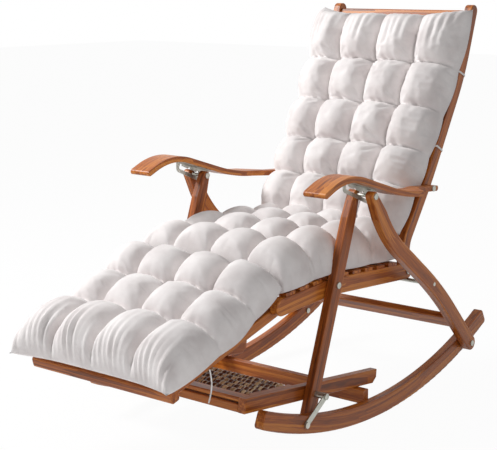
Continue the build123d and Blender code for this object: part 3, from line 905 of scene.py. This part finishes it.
def joint_of(name: str) -> dict:
    """Finds a joint of the frame.

    Args:
        name: Joint name.

    Returns:
        The frame's entry for it.
    """
    return next(joint for joint in frame["joints"] if joint["name"] == name)


def joint_place(name: str) -> tuple[float, float]:
    """Gives a joint's place in the side plane, in the gauge of the side paths.

    Args:
        name: Joint name.

    Returns:
        (y, z) in metres.
    """
    place = joint_of(name)["pos_m"]
    return (place[1] - GAUGE_Y, place[2])


def slopes_of(line: np.ndarray) -> np.ndarray:
    """Gives the direction of a sampled line at each sample.

    Args:
        line: (y, z) samples.

    Returns:
        Unit vectors (y, z).
    """
    slopes = np.gradient(line, axis=0)
    return slopes / np.linalg.norm(slopes, axis=1)[:, None]


def lifted(line: np.ndarray, lift: float) -> np.ndarray:
    """Moves a sampled line to its left by a distance.

    Args:
        line: (y, z) samples.
        lift: Distance to move, in metres.

    Returns:
        The moved samples.
    """
    slopes = slopes_of(line)
    return line + lift * np.stack([-slopes[:, 1], slopes[:, 0]], axis=1)


@dataclass
class PadTies:
    """Cotton ties that hang from the underside of the legrest pad."""

    radius: float = 0.0016
    route: tuple = ((0.0, 0.0), (0.005, -0.017), (0.007, -0.037), (0.003, -0.056), (-0.004, -0.072))
    length: float = 0.0745

    def build(self, fabric: bpy.types.Material) -> None:
        """Builds each tie as a smooth cord along the CAD's own route.

        Args:
            fabric: Fabric of the ties.
        """
        for side, _ in SIDES:
            node = f"pad_tie_{side}"
            low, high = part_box(node)
            x = (low.x + high.x) / 2
            start_y = high.y - max(y for y, _ in self.route) - self.radius
            top_z = high.z
            curve = bpy.data.curves.new(f"tie_{side}", "CURVE")
            curve.dimensions = "3D"
            curve.bevel_depth = self.radius
            curve.bevel_resolution = 3
            curve.use_fill_caps = True
            spline = curve.splines.new("NURBS")
            spline.points.add(len(self.route) - 1)
            for point, (y, z) in zip(spline.points, self.route):
                point.co = (x, start_y + y, top_z + z, 1.0)
            spline.order_u = 3
            spline.use_endpoint_u = True
            piece = bpy.data.objects.new(f"tie_{side}", curve)
            bpy.context.scene.collection.objects.link(piece)
            curve.materials.append(fabric)
            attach(piece, "legrest")
            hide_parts(node)
            LOG.info("tie_%s", side)


@dataclass
class RailTapes:
    """Cotton tapes that hold the pad to the back rails, each tied once round its rail."""

    heights: tuple = (0.800, 0.615)
    rail_middle: float = 0.209
    rail_half: tuple = (0.011, 0.016)
    slack: float = 0.0009
    half_width: float = 0.0024
    thick: float = 0.0010
    squareness: float = 7.0
    steps: int = 72
    slant: float = 0.22

    def build(self, pad: Pad, fabric: bpy.types.Material) -> None:
        """Builds a tape at each height on both rails.

        Args:
            pad: The pad, whose back line gives the rails' line.
            fabric: Fabric of the tapes.
        """
        line = pad.back_line()
        slopes = slopes_of(line)
        for number, height in enumerate(self.heights):
            index = int(np.argmin(np.abs(line[:, 1] - height)))
            for side, sign in SIDES:
                name = f"rail_tape_{side}_{number + 1}"
                piece = self.ring(name, line[index], slopes[index], sign, fabric)
                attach(piece, "backrest")
                LOG.info("%s", piece.name)

    def ring(
        self, name: str, middle: np.ndarray, slope: np.ndarray, sign: int, fabric: bpy.types.Material
    ) -> bpy.types.Object:
        """Makes one tape: a flat section carried round a squared ellipse that hugs the rail.

        The ellipse is x = a * sign(cos t) * |cos t| ** (2 / n), and the same with sin t across the rail's face.
        The tape climbs a little along the rail with x, as a knotted one does.

        Args:
            name: Object name.
            middle: (y, z) of the rail's middle.
            slope: (y, z) direction of the rail.
            sign: 1 on the sitter's left, -1 on the right.
            fabric: Fabric of the tape.

        Returns:
            The tape's object.
        """
        angle = np.linspace(0.0, math.tau, self.steps, endpoint=False)
        wave = np.stack([np.cos(angle), np.sin(angle)], axis=1)
        square = np.sign(wave) * np.abs(wave) ** (2 / self.squareness)
        corners = []
        for rise, way in ((0.0, -1), (self.thick, -1), (self.thick, 1), (0.0, 1)):
            flat = square * (np.array(self.rail_half) + self.slack + rise)
            along = way * self.half_width + self.slant * flat[:, 0]
            corners.append(np.stack([
                sign * (self.rail_middle + flat[:, 0]),
                middle[0] + GAUGE_Y + slope[0] * along - slope[1] * flat[:, 1],
                middle[1] + slope[1] * along + slope[0] * flat[:, 1],
            ], axis=1))
        points = np.stack(corners, axis=1).reshape(-1, 3)
        index = np.arange(self.steps * 4).reshape(self.steps, 4)
        nextward = np.roll(index, -1, axis=0)
        around = np.roll(index, -1, axis=1)
        faces = np.stack([index, nextward, np.roll(nextward, -1, axis=1), around], axis=-1).reshape(-1, 4)
        mesh = bpy.data.meshes.new(name)
        mesh.from_pydata(points.tolist(), [], faces.tolist())
        work = bmesh.new()
        work.from_mesh(mesh)
        bmesh.ops.recalc_face_normals(work, faces=work.faces)
        work.to_mesh(mesh)
        work.free()
        layer = mesh.uv_layers.new(name="cloth")
        corner_of = np.zeros(len(mesh.loops), np.int32)
        mesh.loops.foreach_get("vertex_index", corner_of)
        layer.data.foreach_set("uv", points[corner_of][:, [0, 2]].astype(np.float32).ravel())
        mesh.materials.append(fabric)
        piece = bpy.data.objects.new(name, mesh)
        bpy.context.scene.collection.objects.link(piece)
        return piece


@dataclass
class Frame:
    """The CAD frame: each node gets the finish that its material slot names."""

    bamboo: BambooFinish = BambooFinish()
    zinc: ZincFinish = ZincFinish()
    beads: BeadFinish = BeadFinish()
    bead_step: float = 7.3
    bend_order: int = 5
    tones: dict = field(default_factory=lambda: {
        "seat_rail": 0.14, "armrest": 0.05, "front_leg": -0.12, "back_rail": -0.08, "massager_rail": -0.04,
    })

    def dress(self) -> None:
        """Puts a procedural finish on every CAD node that shows."""
        made = {
            "hardware": self.zinc.make("zinc_plated_steel"), "bamboo": self.bamboo.make("carbonised_bamboo"),
        }
        slots = {part["node"]: part["material_slot"] for part in frame["record"]["subparts"]}
        for name, node in frame["nodes"].items():
            slot = slots[name]
            if slot == "beads":
                finish = self.beads.make(f"bamboo_beads_{name[-1]}", self.bead_step * int(name[-1]))
            elif slot in made:
                finish = made[slot]
            else:
                continue
            if slot == "bamboo":
                tones = [tone for part, tone in self.tones.items() if name.startswith(part)]
                self.lay_grain(node, sum(tones))
            node.data.materials.clear()
            node.data.materials.append(finish)
        LOG.info("frame: %d nodes", len(frame["nodes"]))

    def lay_grain(self, node: bpy.types.Object, tone: float) -> None:
        """Stores each point's place in the wood: along the piece, and across it in two ways.

        The long way is where the points spread most. A bent piece's middle line is a polynomial fitted to the
        offsets across it, and is taken off them, so that the grain follows the bend.

        Args:
            node: CAD node. A node of several slats has its grain across the chair.
            tone: How much paler than the other pieces it is.
        """
        mesh = node.data
        points = np.zeros(len(mesh.vertices) * 3, np.float32)
        mesh.vertices.foreach_get("co", points)
        points = points.reshape(-1, 3).astype(float)
        middle = points.mean(axis=0)
        slats = "slats" in node.name
        axes = np.eye(3) if slats else np.linalg.svd(points - middle, full_matrices=False)[2]
        place = (points - middle) @ axes.T
        if not slats:
            basis = np.vander(place[:, 0] / np.abs(place[:, 0]).max(), self.bend_order + 1)
            place[:, 1:] -= basis @ np.linalg.lstsq(basis, place[:, 1:], rcond=None)[0]
        place += middle
        grain = mesh.attributes.new(GRAIN, "FLOAT_VECTOR", "POINT")
        grain.data.foreach_set("vector", place.astype(np.float32).ravel())
        tones = mesh.attributes.new(TONE, "FLOAT", "POINT")
        tones.data.foreach_set("value", np.full(len(points), tone, np.float32))


@dataclass(frozen=True)
class Lamp:
    """A square lamp that points at the chair."""

    name: str
    place: tuple[float, float, float]
    size: float
    power: float


@dataclass
class Studio:
    """Pale floor, soft lamps and a camera where the photograph was taken from."""

    azimuth: float = math.radians(39.47)
    elevation: float = math.radians(10.64)
    camera_place: tuple = (1.9647, -2.2886, 1.0448)
    lens_mm: float = 94.93
    floor_colour: str = "#F4F4F4"
    floor_roughness: float = 0.9
    floor_reach: float = 14.0
    floor_glow: float = 0.96
    world_light: float = 0.24
    lamp_aim: tuple = (0.0, 0.0, 0.4)
    lamps: tuple[Lamp, ...] = (
        Lamp("key", (-2.2, -1.3, 2.7), 1.2, 124.0),
        Lamp("fill", (2.6, -1.0, 1.6), 2.2, 14.0),
    )

    def build(self) -> None:
        """Makes the floor, the lamps, the world and the camera."""
        scene = bpy.context.scene
        scene.view_settings.view_transform = "Standard"
        self.floor()
        self.light()
        level = math.cos(self.elevation)
        back = Vector((
            math.sin(self.azimuth) * level, -math.cos(self.azimuth) * level, math.sin(self.elevation),
        ))
        camera = bpy.data.objects.new("camera", bpy.data.cameras.new("camera"))
        camera.data.lens = self.lens_mm
        x, y, z = self.camera_place
        camera.location = (x, y + GAUGE_Y, z)
        camera.rotation_mode = "QUATERNION"
        camera.rotation_quaternion = (-back).to_track_quat("-Z", "Y")
        scene.collection.objects.link(camera)
        scene.camera = camera

    def floor(self) -> None:
        """Makes a wide floor that shows white to the camera and keeps the chair's shadow."""
        material, shader = new_material("pale_floor")
        wire(material, shader, {"Base Color": linear(self.floor_colour), "Roughness": self.floor_roughness})
        glow = add_node(material, "ShaderNodeEmission", {"Strength": 1.0})
        share = add_node(material, "ShaderNodeMath", {
            0: straight_rays(material), 1: self.floor_glow,
        }, operation="MULTIPLY")
        mixed = add_node(material, "ShaderNodeMixShader", {
            0: share.outputs["Value"], 1: shader.outputs["BSDF"], 2: glow.outputs["Emission"],
        })
        output = next(node for node in material.node_tree.nodes if node.type == "OUTPUT_MATERIAL")
        wire(material, output, {"Surface": mixed.outputs["Shader"]})
        mesh = bpy.data.meshes.new("floor")
        reach = self.floor_reach
        corners = [(-reach, -reach, 0), (reach, -reach, 0), (reach, reach, 0), (-reach, reach, 0)]
        mesh.from_pydata(corners, [], [(0, 1, 2, 3)])
        mesh.materials.append(material)
        floor = bpy.data.objects.new("floor", mesh)
        bpy.context.scene.collection.objects.link(floor)

    def light(self) -> None:
        """Hangs the lamps, and lets the world fill the shade."""
        for lamp in self.lamps:
            light = bpy.data.lights.new(lamp.name, "AREA")
            light.size = lamp.size
            light.energy = lamp.power
            piece = bpy.data.objects.new(lamp.name, light)
            piece.location = lamp.place
            piece.rotation_mode = "QUATERNION"
            piece.rotation_quaternion = (Vector(self.lamp_aim) - Vector(lamp.place)).to_track_quat("-Z", "Y")
            bpy.context.scene.collection.objects.link(piece)
        world = bpy.data.worlds.new("studio")
        bpy.context.scene.world = world
        world.use_nodes = True
        strength = add_node(world, "ShaderNodeMapRange", {
            "Value": straight_rays(world), "To Min": self.world_light, "To Max": 1.0,
        })
        wire(world, world.node_tree.nodes["Background"], {
            "Strength": strength.outputs["Result"], "Color": (1.0, 1.0, 1.0, 1.0),
        })


def main() -> None:
    """Builds the chair's pieces in order."""
    logging.basicConfig(level=logging.INFO)
    Studio().build()
    pad = Pad()
    tape = pad.tie_finish.make("cotton_tape")
    PadTies().build(tape)
    Frame().dress()
    pad.build()
    RailTapes().build(pad, tape)


if __name__ == "__main__":
    main()
